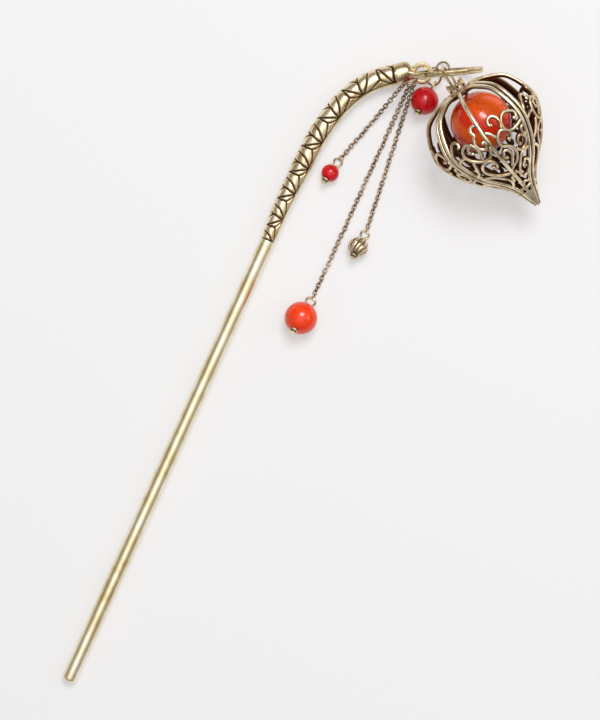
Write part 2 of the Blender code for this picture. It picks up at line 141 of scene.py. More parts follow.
def wrap(bm, columns, rows, place):
    """Adds a grid whose corner (i, j) goes to place(i, j), a place and its relief."""
    layer = bm.verts.layers.float.get("relief") or bm.verts.layers.float.new("relief")
    made = bmesh.ops.create_grid(bm, x_segments=columns, y_segments=rows, size=1)
    for v in made["verts"]:
        i = round((v.co.x + 1) / 2 * columns)
        j = round((v.co.y + 1) / 2 * rows)
        v.co, v[layer] = place(i, j)
    return made["verts"]


def piece(name, bm, body, look, replaced=(), weld=2e-4):
    """Keeps a mesh made in millimetres as a finished piece of the object."""
    bmesh.ops.remove_doubles(bm, verts=bm.verts, dist=weld)
    bmesh.ops.dissolve_degenerate(bm, edges=bm.edges, dist=weld / 4)
    bmesh.ops.recalc_face_normals(bm, faces=bm.faces)
    bm.transform(Matrix.Scale(MM, 4) @ Matrix.Translation(TIP))
    mesh = bpy.data.meshes.new(name)
    bm.to_mesh(mesh)
    bm.free()
    mesh.shade_smooth()
    mesh.materials.append(look)
    made = bpy.data.objects.new(name, mesh)
    bpy.context.collection.objects.link(made)
    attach(made, body)
    if replaced:
        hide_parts(*replaced)
    print(name, len(mesh.polygons), "faces")
    return made


# %% [markdown]
# ## Finishes: antique brass
# Antique brass is plated brass that was dipped to turn dark brown and then buffed, so raised places
# are pale gold and hollows stay nearly black. The shader is a metal. Its colour runs from dark
# patina to polished gold by the relief, by how closed in a place is, and by a little noise, and
# fine pits and hairlines go into the bump and the roughness. How closed in a place is comes from
# ambient occlusion, so besides the patina in the hollows it paints shade into the gaps between
# parts and where the table is near. One small function adds a node with its settings and its links.

# %% Colour and node helpers
def linear(hex_colour):
    """An sRGB hex colour as the linear numbers a shader takes."""
    parts = [int(hex_colour[k : k + 2], 16) / 255 for k in (1, 3, 5)]
    return [p / 12.92 if p <= 0.04045 else ((p + 0.055) / 1.055) ** 2.4 for p in parts] + [1]


def add(tree, kind, links=None, values=None, **settings):
    """Adds a node, sets its properties and socket values, and links its inputs."""
    made = tree.nodes.new("ShaderNode" + kind)
    for name, value in settings.items():
        setattr(made, name, value)
    for key, value in (values or {}).items():
        made.inputs[key].default_value = value
    for key, (source, output) in (links or {}).items():
        tree.links.new(source.outputs[output], made.inputs[key])
    return made


def ramp(tree, source, stops):
    """A colour ramp from (place, colour) stops."""
    made = add(tree, "ValToRGB", {0: source})
    for k, (place, colour) in enumerate(stops):
        stop = made.color_ramp.elements[k] if k < 2 else made.color_ramp.elements.new(place)
        stop.position, stop.color = place, colour
    return made


def per_mm(size_mm):
    """The texture scale that makes one feature this many millimetres wide."""
    return 1 / (size_mm * MM)


def new_look(name, **values):
    look = bpy.data.materials.new(name)
    look.use_nodes = True
    shader = look.node_tree.nodes["Principled BSDF"]
    for key, value in values.items():
        shader.inputs[key.replace("_", " ").title().replace("Ior", "IOR")].default_value = value
    return look, look.node_tree, shader


# %% [markdown]
# One function makes every antique brass here. Two noises, one 3.2 mm wide and one 0.35 mm wide,
# give the cloudy wear and the fine casting grit. The part, the wire and the casting differ only
# in their colours and in how much dark patina and painted shade they take.

# %% Antique brass
def antique_brass(name, gold, brown, dark, roughness, wear, patina_and_shade_reach_mm, relief=False,
                  open_at=0.8, pits=0.3):
    """Dipped, buffed brass: pale where open, patina and painted shade where closed in."""
    look, tree, shader = new_look(name, metallic=1.0)
    place = add(tree, "TexCoord")
    cloud = add(tree, "TexNoise", {"Vector": (place, "Object")},
                {"Scale": per_mm(3.2), "Detail": 5, "Roughness": 0.6})
    grit = add(tree, "TexNoise", {"Vector": (place, "Object")},
               {"Scale": per_mm(0.35), "Detail": 3, "Roughness": 0.7})
    worn = ramp(tree, (cloud, "Fac"), [(0.3, linear(brown)), (0.3 + wear, linear(gold))])
    # Ambient occlusion from the part, other parts and the table: patina in hollows, painted shade
    # in gaps and near the table.
    closed = add(tree, "AmbientOcclusion", values={"Distance": patina_and_shade_reach_mm * MM},
                 samples=8, only_local=False)
    clear_of_patina_and_shade = add(tree, "MapRange", {"Value": (closed, "AO")},
                   {"From Min": 0.25, "From Max": open_at})
    if relief:
        # Relief: patina in hollows; on the cage also painted shade on the bars' flanks and inner
        # faces.
        height = add(tree, "Attribute", attribute_name="relief")
        rubbed_and_unshaded = add(tree, "Math", {0: (clear_of_patina_and_shade, "Result"), 1: (height, "Fac")},
                     operation="MULTIPLY")
        rubbed_and_unshaded_out = (rubbed_and_unshaded, "Value")
    else:
        rubbed_and_unshaded_out = (clear_of_patina_and_shade, "Result")
    speck = add(tree, "MapRange", {"Value": (grit, "Fac")},
                {"From Min": 0.3, "From Max": 0.52, "To Min": 1 - pits, "To Max": 1.0})
    shown = add(tree, "Math", {0: rubbed_and_unshaded_out, 1: (speck, "Result")}, operation="MULTIPLY")
    low = ramp(tree, (shown, "Value"), [(0.1, linear(dark)), (0.55, linear(brown))])
    high = add(tree, "MapRange", {"Value": (shown, "Value")}, {"From Min": 0.45, "From Max": 0.9})
    colour = add(tree, "Mix", {"Factor": (high, "Result"), "A": (low, "Color"),
                               "B": (worn, "Color")}, data_type="RGBA")
    tree.links.new(colour.outputs["Result"], shader.inputs["Base Color"])
    rough = add(tree, "MapRange", {"Value": (shown, "Value")},
                {"To Min": min(roughness + 0.3, 1), "To Max": roughness})
    tree.links.new(rough.outputs["Result"], shader.inputs["Roughness"])
    dents = add(tree, "Bump", {"Height": (grit, "Fac")},
                {"Strength": 0.25, "Distance": 0.03 * MM})
    tree.links.new(dents.outputs["Normal"], shader.inputs["Normal"])
    return look


# %% [markdown]
# The straight shaft is buffed along its length, so it is the palest part. Its plating has small
# brown pits and scuffs, and hairlines that run with the stick: the noise is stretched along X.

# %% Buffed shaft
def buffed_brass(name):
    look, tree, shader = new_look(name, metallic=1.0)
    place = add(tree, "TexCoord")
    along = add(tree, "Mapping", {"Vector": (place, "Object")}, {"Scale": (0.06, 1, 1)})
    hair = add(tree, "TexNoise", {"Vector": (along, "Vector")},
               {"Scale": per_mm(0.3), "Detail": 4, "Roughness": 0.7})
    cloud = add(tree, "TexNoise", {"Vector": (place, "Object")},
                {"Scale": per_mm(5), "Detail": 6, "Roughness": 0.65})
    pit = add(tree, "TexNoise", {"Vector": (place, "Object")},
              {"Scale": per_mm(0.5), "Detail": 5, "Roughness": 0.75})
    tone = ramp(tree, (cloud, "Fac"),
                [(0.33, linear("#dcc794")), (0.5, linear("#f0e0b8")), (0.68, linear("#faf0d8"))])
    mark = add(tree, "MapRange", {"Value": (pit, "Fac")}, {"From Min": 0.62, "From Max": 0.7})
    place_mark = add(tree, "MapRange", {"Value": (cloud, "Fac")},
                     {"From Min": 0.56, "From Max": 0.44})
    worn = add(tree, "Math", {0: (mark, "Result"), 1: (place_mark, "Result")},
               operation="MULTIPLY")
    colour = add(tree, "Mix", {"Factor": (worn, "Value"), "A": (tone, "Color")},
                 data_type="RGBA")
    colour.inputs["B"].default_value = linear("#5b4326")
    tree.links.new(colour.outputs["Result"], shader.inputs["Base Color"])
    rough = add(tree, "MapRange", {"Value": (hair, "Fac")}, {"To Min": 0.24, "To Max": 0.42})
    tree.links.new(rough.outputs["Result"], shader.inputs["Roughness"])
    lines = add(tree, "Bump", {"Height": (hair, "Fac")},
                {"Strength": 0.2, "Distance": 0.03 * MM})
    dents = add(tree, "Bump", {"Height": (pit, "Fac"), "Normal": (lines, "Normal")},
                {"Strength": 0.12, "Distance": 0.05 * MM})
    tree.links.new(dents.outputs["Normal"], shader.inputs["Normal"])
    return look


SHAFT_LOOK = buffed_brass("buffed_antique_brass")
NECK_LOOK = antique_brass("carved_antique_brass", "#fae8c4", "#c8a874", "#453014",
                           0.26, 0.24, 1.0, True, 0.7, 0.12)
RING_LOOK = antique_brass("drawn_brass_wire", "#ecdab0", "#ac9060", "#36230f", 0.26, 0.26, 1.0)
CHAIN_LOOK = antique_brass("dark_chain_brass", "#d4bc9c", "#8c6e50", "#35200f", 0.32, 0.34, 0.7)
CAGE_LOOK = antique_brass("cast_antique_brass", "#f8e8c8", "#a8845c", "#58331e",
                           0.26, 0.24, 1.6, True)
METALS = (SHAFT_LOOK, NECK_LOOK, RING_LOOK, CHAIN_LOOK, CAGE_LOOK)
print("metal looks", [look.name for look in METALS])

# %% [markdown]
# ## Finishes: glass and stone
# The small beads are pressed glass, dyed through, so they glow a little inside: a dielectric with
# some subsurface light and a clear polish. The big ball is banded agate or glass. Its bands are
# parallel layers, a little wavy, cut through by the round surface.

# %% Beads
def glass_bead(name, deep, bright, bands):
    look, tree, shader = new_look(name, roughness=0.1, ior=1.5, subsurface_weight=0.2,
                                  subsurface_scale=1.2 * MM, coat_weight=0.1, coat_roughness=0.1)
    shader.inputs["Subsurface Radius"].default_value = (1.0, 0.3, 0.08)
    place = add(tree, "TexCoord")
    cloud = add(tree, "TexNoise", {"Vector": (place, "Object")},
                {"Scale": per_mm(2.5), "Detail": 3, "Distortion": 0.4})
    source = (cloud, "Fac")
    if bands:
        turn = add(tree, "Mapping", {"Vector": (place, "Object")},
                   {"Rotation": (0.5, 0.7, 0.3)})
        wave = add(tree, "TexWave", {"Vector": (turn, "Vector")},
                   {"Scale": per_mm(bands) / 3.2, "Distortion": 2.6, "Detail": 2,
                    "Detail Scale": 0.6})
        source = (wave, "Fac")
    tone = ramp(tree, source, [(0.25, linear(deep)), (0.75, linear(bright))])
    tree.links.new(tone.outputs["Color"], shader.inputs["Base Color"])
    scuff = add(tree, "TexNoise", {"Vector": (place, "Object")},
                {"Scale": per_mm(0.6), "Detail": 4})
    rough = add(tree, "MapRange", {"Value": (scuff, "Fac")}, {"To Min": 0.12, "To Max": 0.2})
    tree.links.new(rough.outputs["Result"], shader.inputs["Roughness"])
    ripple = add(tree, "Bump", {"Height": (cloud, "Fac")},
                 {"Strength": 0.08, "Distance": 0.1 * MM})
    tree.links.new(ripple.outputs["Normal"], shader.inputs["Normal"])
    return look


RED_LOOK = glass_bead("pressed_red_glass", "#b0000a", "#dc0014", 0)
ORANGE_LOOK = glass_bead("pressed_orange_glass", "#e02a02", "#f4480c", 0)
BALL_LOOK = glass_bead("banded_orange_agate", "#dc2c02", "#f25c0c", 6.0)

# %% [markdown]
# ## The parts that keep their frame shape
# The eye, the wire rings, the head pins, the caps and the crown are already true, so they only
# need their finish.

# %% Finishes for frame nodes
# Hangers, small rings, crown and three caps take the darker chain brass; on them that darkness is
# partly painted shade among the chains and cage.
KEEP = {
    "eye_loop": RING_LOOK,
    "split_ring": RING_LOOK,
    "cage_link": RING_LOOK,
    "cage_crown": CHAIN_LOOK,
    "hanging_pin": RING_LOOK,
    "chain_hanger": CHAIN_LOOK,
    "bead_ring": CHAIN_LOOK,
    "side_ring": CHAIN_LOOK,
    "short_head_pin": RING_LOOK,
    "long_head_pin": RING_LOOK,
    "middle_head_pin": RING_LOOK,
    "red_head_pin": RING_LOOK,
    "short_bead_cap": RING_LOOK,
    "long_bead_cap": CHAIN_LOOK,
    "middle_bead_cap": CHAIN_LOOK,
    "red_bead_cap": CHAIN_LOOK,
}
for name, look in KEEP.items():
    kept = frame["nodes"][name]
    kept.data.materials.clear()
    kept.data.materials.append(look)
print("frame nodes with a new finish:", len(KEEP))

# %% [markdown]
# ## Spinning a half outline
# Round parts are made as on a lathe: half an outline is drawn from one end of the axis to the
# other and spun all the way round. The straight shaft is the first. It is cut from rod and its tip
# is filed round, with a small flat left at the very end.

# %% Lathe and shaft
def seat_along(middle, along):
    """Stands a shape made about Z at a place, with Z turned to the way given."""
    along = along.normalized()
    across = along.cross(UP if abs(along.z) < 0.9 else Vector((1, 0, 0))).normalized()
    return Matrix.Translation(middle) @ Matrix(
        (across, along.cross(across), along)).transposed().to_4x4()


def spun(outline, steps, closed=False):
    """The outline of (radius, height) spun about Z."""
    bm = bmesh.new()
    dots = [bm.verts.new((r, 0, h)) for r, h in outline]
    lines = [bm.edges.new(pair) for pair in zip(dots, dots[1:] + dots[:closed])]
    bmesh.ops.spin(bm, geom=dots + lines, cent=(0, 0, 0), axis=(0, 0, 1),
                   angle=2 * pi, steps=steps, use_merge=True)
    return bm


SHAFT_R, SHAFT_LENGTH, TIP_ROUND = 1.6, 108.8, 0.85
tip_arc = [(SHAFT_R - TIP_ROUND * (1 - sin(k * pi / 16)), TIP_ROUND * (1 - cos(k * pi / 16)))
           for k in range(9)]
lengths = [(SHAFT_R, TIP_ROUND + (SHAFT_LENGTH - 0.1 - TIP_ROUND) * k / 24) for k in range(1, 25)]
bm = spun([(0, 0), *tip_arc, *lengths, (SHAFT_R - 0.01, SHAFT_LENGTH),
           (SHAFT_R - 0.1, SHAFT_LENGTH), (0, SHAFT_LENGTH)], 40)
bm.transform(seat_along(Vector((0, 0, TIP_Z)), Vector((BEND_X, 0, NECK_Z - TIP_Z))))
piece("buffed_shaft", bm, "stick", SHAFT_LOOK, ["stick_shaft"])

# %% [markdown]
# ## The carved neck
# On the real pin the neck is cast with rows of leaves. From each point on the inner side grooves
# fan out to the outer side, and a Y-shaped groove joins each point to the next. It could be
# sculpted, but the pattern repeats, so it is worked out flat: each corner of a grid measures how
# far it is from the nearest groove, sinks if it is close, and swells between grooves like a leaf.
# A plain strip runs along the inner side.

# %% Neck line and grooves
NECK_ROUTE = [(108.9, 0.04), (118.4, 0.25), (127.4, -0.06), (134.7, -0.45),
              (141.75, -1.75), (147.6, -4.12), (151.85, -7.36), (154.6, -10.75)]
NECK_START_R, NECK_MID_R, NECK_END_R = 1.64, 2.28, 2.38
PATTERN_TURN = radians(146)
LEAF_WIDTH = PATTERN_TURN * 2.3
GROOVE_HALF, GROOVE_DEPTH, LEAF_SWELL = 0.2, 0.24, 0.08


def stick_z(x):
    return TIP_Z + (NECK_Z - TIP_Z) * min(x / BEND_X, 1)


neck_line, NECK_LENGTH = evenly(
    smooth_route([(x, y, stick_z(x)) for x, y in NECK_ROUTE]), 421)


def leaf_points():
    """Places along the neck where the grooves meet its inner strip."""
    back = [0, 8.3, 7.9, 7.2, 6.6, 6.4, 6.4, 6.3]
    spots, here = [], NECK_LENGTH - 0.5
    for gap in back:
        here -= gap
        spots.append(here)
    return spots[::-1]


def bent(start, end, bow, steps=7):
    """A groove from start to end that bows sideways."""
    start, end = Vector(start), Vector(end)
    aside = Vector((-(end - start).y, (end - start).x)).normalized() * bow
    return [start.lerp(end, k / steps) + aside * sin(pi * k / steps)
            for k in range(steps + 1)]


def groove_pieces():
    lines = []
    spots = leaf_points()
    for here, after in zip(spots, spots[1:] + [spots[-1] + 8]):
        gap = after - here
        top = LEAF_WIDTH
        fork, join = (here + 0.03 * gap, 0.55 * top), (here + 0.6 * gap, 0.28 * top)
        lines.append(bent((here, 0), fork, 0.25))
        lines.append(bent(fork, (here - 0.22 * gap, top), -0.25))
        lines.append(bent(fork, (here + 0.14 * gap, top), 0.15))
        lines.append(bent((here, 0), (here - 0.44 * gap, top), 0.4))
        lines.append(bent((here, 0), (here + 0.4 * gap, top), -0.55))
        lines.append(bent((here, 0), join, -0.3))
        lines.append(bent(join, (after, 0), -0.25))
        lines.append(bent(join, (here + 0.62 * gap, top), 0.15))
    lines.append(bent((0.05, 0), (0.05, LEAF_WIDTH), 0))
    lines.append(bent((NECK_LENGTH - 0.5, 0), (NECK_LENGTH - 0.5, LEAF_WIDTH), 0))
    return [(p, q) for line in lines for p, q in zip(line, line[1:])]


PIECES = groove_pieces()
print("neck", round(NECK_LENGTH, 1), "mm long,", len(leaf_points()), "groups of leaves")


# %% [markdown]
# The neck is a rod whose radius changes from corner to corner of the wrapped grid. Each corner
# asks how far the nearest groove is, and the answer is also its relief for the patina.

# %% Carve the neck
def to_groove(u, w):
    """How far a place on the unrolled neck is from the nearest groove, in millimetres."""
    nearest = 9.0
    for p, q in PIECES:
        if min(p.x, q.x) - u > 1.2 or u - max(p.x, q.x) > 1.2:
            continue
        run = q - p
        share = ((u - p.x) * run.x + (w - p.y) * run.y) / run.length_squared
        share = min(max(share, 0), 1)
        gap = sqrt((u - p.x - run.x * share) ** 2 + (w - p.y - run.y * share) ** 2)
        nearest = min(nearest, gap)
    return nearest


def neck_radius(share):
    if share < 0.4:
        return NECK_START_R + (NECK_MID_R - NECK_START_R) * share / 0.4
    return NECK_MID_R + (NECK_END_R - NECK_MID_R) * (share - 0.4) / 0.6


AROUND = 108


def neck_place(i, j):
    share = i / (len(neck_line) - 1)
    here = neck_line[i]
    before, after = neck_line[max(i - 1, 0)], neck_line[min(i + 1, len(neck_line) - 1)]
    along = (after - before).normalized()
    inner = along.cross(UP).normalized()
    top = inner.cross(along)
    from_outer = 2 * pi * j / AROUND
    turn = from_outer - pi / 2
    across = PATTERN_TURN - min(from_outer, 2 * pi - from_outer)
    u = share * NECK_LENGTH
    radius = neck_radius(share)
    if across > 0:
        gap = to_groove(u, across * 2.3)
    else:
        gap = 9.0
    strip = abs(across) * 2.3
    gap = min(gap, strip + 0.04, 9)
    dip = exp(-((gap / GROOVE_HALF) ** 2))
    swell = (1 - exp(-gap / 0.5)) if across > 0 else 0.35 * (1 - exp(-gap / 0.3))
    radius = radius - 0.02 - GROOVE_DEPTH * dip + LEAF_SWELL * swell
    relief = max(0.0, min(1.0, (gap - 0.1) / 0.18))
    return here + (top * cos(turn) + inner * sin(turn)) * radius, relief


bm = bmesh.new()
wrap(bm, len(neck_line) - 1, AROUND, neck_place)
bmesh.ops.remove_doubles(bm, verts=bm.verts, dist=2e-4)
bmesh.ops.holes_fill(bm, edges=[e for e in bm.edges if e.is_boundary], sides=0)
piece("carved_neck_leaves", bm, "stick", NECK_LOOK, ["carved_neck"])

# %% [markdown]
# ## The collar
# The carving ends at a plain polished collar that rounds over into the eye's wire. It is a half
# outline spun about the neck's end.

# %% Collar
COLLAR_START, COLLAR_WAY = neck_line[-1], (neck_line[-1] - neck_line[-6]).normalized()
COLLAR_OUTLINE = [(0, -0.12), (2.1, -0.12), (2.32, 0), (2.4, 0.25), (2.42, 1.2), (2.38, 2.2),
                  (2.26, 2.9), (1.98, 3.4), (1.46, 3.74), (0.75, 3.92), (0, 3.96)]
smooth = smooth_route([(r, h, 0) for r, h in COLLAR_OUTLINE], 4)
bm = spun([(max(p.x, 0), p.y) for p in smooth], 48)
bm.transform(seat_along(COLLAR_START, COLLAR_WAY))
piece("polished_collar", bm, "stick", RING_LOOK, ["end_collar"])

# %% [markdown]
# ## The chains
# Each chain is fine cable chain: oval wire links, each turned a quarter turn from the last. In the
# frame a chain is a few stiff lengths, so each length gets its own row of real links that moves
# with it. One link is a circle of wire spun round and stretched, and it is repeated often, so it
# has only a few dozen faces.

# %% Chain links
LINK_PITCH, LINK_WIRE_R = 0.87, 0.16
LINK_HALF_LONG, LINK_HALF_WIDE = 0.6, 0.46
LINK_STEPS, LINK_SIDES = 12, 5


def link_mesh():
    bm = bmesh.new()
    made = bmesh.ops.create_circle(bm, segments=LINK_SIDES, radius=LINK_WIRE_R)
    bmesh.ops.rotate(bm, verts=made["verts"], cent=(0, 0, 0),
                     matrix=Matrix.Rotation(pi / 2, 3, "X"))
    bmesh.ops.translate(bm, verts=made["verts"], vec=(LINK_HALF_WIDE, 0, 0))
    bmesh.ops.spin(bm, geom=bm.verts[:] + bm.edges[:], cent=(0, 0, 0), axis=(0, 0, 1),
                   angle=2 * pi, steps=LINK_STEPS, use_merge=True)
    for v in bm.verts:
        v.co.x += (LINK_HALF_LONG - LINK_HALF_WIDE) * max(-1, min(1, v.co.x / 0.2))
    mesh = bpy.data.meshes.new("one_link")
    bm.to_mesh(mesh)
    bm.free()
    return mesh


ONE_LINK = link_mesh()


def lengths_seed(name):
    """A different twist for each chain."""
    return {"s": 1.3, "l": 4.7, "m": 8.9}[name[0]]


def chain_run(name, start, end, body, node, first_turn):
    """A row of links from start to end. Returns the turn of the link after the last."""
    run = end - start
    count = max(2, round(run.length / LINK_PITCH))
    along = run.normalized()
    aside = along.cross(UP).normalized()
    above = aside.cross(along)
    bm = bmesh.new()
    for k in range(count):
        place = first_turn + k
        twist = 30 * noise.noise(Vector((place * 0.23, lengths_seed(name), 0)))
        turn = radians(22 + twist) + place * pi / 2
        flat = above * cos(turn) + aside * sin(turn)
        side = flat.cross(along)
        seat = Matrix((along, side, flat)).transposed().to_4x4()
        share = (k + 0.5) / count
        wander = 0.16 * sin(pi * share) * noise.noise(Vector((place * 0.3, 7.1, 0)))
        middle = start + run * share + aside * wander
        fresh = len(bm.verts)
        bm.from_mesh(ONE_LINK)
        bm.verts.ensure_lookup_table()
        bmesh.ops.transform(bm, matrix=Matrix.Translation(middle) @ seat,
                            verts=bm.verts[fresh:])
    piece(name, bm, body, CHAIN_LOOK, [node], weld=1e-5)
    return first_turn + count


for chain, lengths in (("short", 2), ("long", 5), ("middle", 3)):
    knots = [pivot(f"{chain}_chain_{k}_bend") for k in range(1, lengths + 1)]
    knots.append(pivot(f"{chain}_pin_swing"))
    for knot in knots:
        knot.z = max(knot.z, LINK_HALF_WIDE + LINK_WIRE_R + 0.04)
    turn = 0
    for k in range(lengths):
        node = f"{chain}_chain_{k + 1}"
        turn = chain_run(f"{chain}_links_{k + 1}", knots[k], knots[k + 1], node, node, turn)

# %% [markdown]
# ## The beads
# A glass bead is a ball with a drilled hole whose rim is a little rounded. A half outline spun all
# the way round makes it with no pole. The outline runs up the hole, round the rim and over the
# ball.

# %% Bead shapes
BORE_R = 0.42


def bead_mesh(radius, rows=22, steps=40):
    """A drilled ball about Z."""
    rim = 0.16
    top = asin((BORE_R + rim) / radius)
    outline = [(BORE_R, 0)]
    outline += [(BORE_R, -radius * cos(top) + rim), (BORE_R + 0.04, -radius * cos(top) + 0.04)]
    for k in range(rows + 1):
        turn = top + (pi - 2 * top) * k / rows
        outline.append((radius * sin(turn), -radius * cos(turn)))
    outline += [(BORE_R + 0.04, radius * cos(top) - 0.04), (BORE_R, radius * cos(top) - rim)]
    return spun(outline, steps, closed=True)


def bead_line(name):
    """The middle of a bead and the way its pin runs."""
    joint = JOINTS[name + "_turn"]
    return from_frame(joint["pos_m"]), Vector(joint["axis"])


for name, radius, look, slot in (("short_bead", 2.0, RED_LOOK, "red_glass"),
                                 ("long_bead", 3.7, ORANGE_LOOK, "orange_glass"),
                                 ("red_bead", 3.18, RED_LOOK, "red_glass")):
    middle, along = bead_line(name)
    bm = bead_mesh(radius)
    bm.transform(seat_along(middle, along))
    piece(name + "_drilled", bm, name, look, [name])

# %% [markdown]
# The middle chain ends in a cast brass bead with flutes from end to end. It is the same drilled
# ball, and its corners are drawn in along twelve grooves that deepen towards its middle. The relief
# number marks the grooves for the patina.

# %% Fluted bead
FLUTES, FLUTE_DEPTH, FLUTED_R = 12, 0.1, 2.3
middle, along = bead_line("middle_bead")
bm = bead_mesh(FLUTED_R, rows=18, steps=FLUTES * 8)
layer = bm.verts.layers.float.new("relief")
for v in bm.verts:
    out = Vector((v.co.x, v.co.y))
    v[layer] = 1.0
    if v.co.length > FLUTED_R * 0.8 and out.length > 0.8:
        angle = Vector((1, 0)).angle_signed(out) + 0.12 * v.co.z
        ridge = abs(cos(FLUTES / 2 * angle)) ** 0.6
        v.co -= Vector((out.x, out.y, 0)) * FLUTE_DEPTH * (1 - ridge)
        v[layer] = max(0.0, min(1.0, 1.8 * ridge - 0.5))
bm.transform(seat_along(middle, along))
piece("middle_bead_fluted", bm, "middle_bead", CAGE_LOOK, ["middle_bead"])

# %% [markdown]
# ## The loose ball
# The ball is polished stone with no hole. A sphere from an operator is enough, with many fine
# faces because it is the largest smooth thing here.

# %% Ball
low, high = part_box("cage_ball")
BALL_MIDDLE, BALL_R = from_frame((low + high) / 2), 6.8
bm = bmesh.new()
bmesh.ops.create_uvsphere(bm, u_segments=64, v_segments=32, radius=BALL_R)
bm.transform(Matrix.Translation(BALL_MIDDLE))
piece("banded_ball", bm, "cage_ball", BALL_LOOK, ["cage_ball"])

# %% [markdown]
# ## The lantern cage
# The cage is four cast petals that bulge like a lantern and meet at a point. Each petal has a rib
# down its middle and one down each side. Its upper half is open, and its lower half is filled with
# scrolls whose ends curl up. Every wire of it is drawn flat, as places given by the angle from the
# petal's middle in degrees and the distance down its curve in millimetres, and then laid on the
# bulge as a round bar.

# %% Cage surface
HUB = pivot("cage_swing")
CAGE_AXIS = Vector((-15.4, -27.0, -4.6)).normalized()
CAGE_ROLL = radians(12)
CAGE_OUTLINE = [(1.5, 2.05), (1.0, 4.1), (1.6, 6.9), (4.2, 11.1), (10.6, 13.6),
                (15.8, 12.3), (20.7, 9.1), (25.8, 4.1), (32.2, 0.9)]
LEVEL = CAGE_AXIS.cross(UP).normalized()
TOP_WAY = (UP - CAGE_AXIS * UP.dot(CAGE_AXIS)).normalized()
FRONT = TOP_WAY * cos(CAGE_ROLL) + LEVEL * sin(CAGE_ROLL)
RIGHT = FRONT.cross(CAGE_AXIS)
petal_line, CURVE_LENGTH = evenly(
    smooth_route([(s, r, 0) for s, r in CAGE_OUTLINE], 24), 401)
SEAM_HALF = 0.2


def on_cage(turn, distance, depth):
    """A place on a petal and the way straight out of it."""
    share = min(max(distance / CURVE_LENGTH, 0), 1) * (len(petal_line) - 1)
    k = min(int(share), len(petal_line) - 2)
    here = petal_line[k].lerp(petal_line[k + 1], share - k)
    run = (petal_line[k + 1] - petal_line[k]).normalized()
    flat = FRONT * cos(turn) + RIGHT * sin(turn)
    out = flat * run.x - CAGE_AXIS * run.y
    radius = max(here.y, 0.3)
    return HUB + CAGE_AXIS * here.x + flat * radius - out * depth, out


def side_turn(distance, bar_r):
    """The angle at which a bar lies against the petal's seam."""
    share = min(max(distance / CURVE_LENGTH, 0), 1) * (len(petal_line) - 1)
    radius = max(petal_line[int(share)].y, 0.5)
    return pi / 4 - min(asin(min((SEAM_HALF + bar_r) / radius, 0.9)), 0.7)


print("petal curve", round(CURVE_LENGTH, 1), "mm long")


# %% [markdown]
# A bar of the casting is round on the outside, where it was polished, and deep on the inside,
# where the casting is rough. Its relief falls from the outer face to the flanks and the inner face,
# so these are dark with patina and also with painted shade inside the cage. Curls end in a small
# ball, as cast curls do.

# %% Bars laid on the cage
WALL, SINK = 1.1, 0.22


def bar(bm, path, radius, turn, ball=0.0, sides=8, taper=True, flank=0.15):
    """A bar along a path of (angle, distance), round outside and deep inside, maybe with a ball."""
    count = max(8, len(path))
    path, _ = evenly(path, count)
    spots = [on_cage(turn + radians(p.x), p.y, radius + SINK) for p in path]
    length = sum((a[0] - b[0]).length for a, b in zip(spots, spots[1:]))
    step = length / (count - 1)

    def thickness(i):
        start, end = i * step, (count - 1 - i) * step
        here = radius
        if taper:
            here *= 0.72 + 0.28 * min(start / 2.5, 1)
        if start < 2 * ball:
            here = max(here, sqrt(max(ball**2 - (start - ball) ** 2, 0)))
        for reach in (start, end):
            if reach < radius * 0.8 and not (ball and reach == start):
                here *= sqrt(max(1 - (1 - reach / (radius * 0.8)) ** 2, 0))
        return max(here, 0.0)

    def place(i, j):
        middle, out = spots[i]
        before, after = spots[max(i - 1, 0)][0], spots[min(i + 1, count - 1)][0]
        along = (after - before).normalized()
        aside = along.cross(out).normalized()
        angle = 2 * pi * j / sides
        deep = 1 if cos(angle) > 0 else (WALL - radius) / radius
        across = out * cos(angle) * deep + aside * sin(angle)
        # Relief high on the outer face, low on flanks and inner face: patina and painted shade
        # inside the cage.
        return middle + across * thickness(i), max(0.0, min(1.0, flank + 0.9 * cos(angle)))

    wrap(bm, count - 1, sides, place)


RIB_R, SCROLL_R = 0.48, 0.4
RIB_START, RIB_END = 0.8, CURVE_LENGTH - 0.6

# %% [markdown]
# The scrolls are drawn by hand, as a caster's pattern maker would: a few places along each stroke,
# joined by a smooth line. The first place of a curl is its inner end, which carries a small ball.

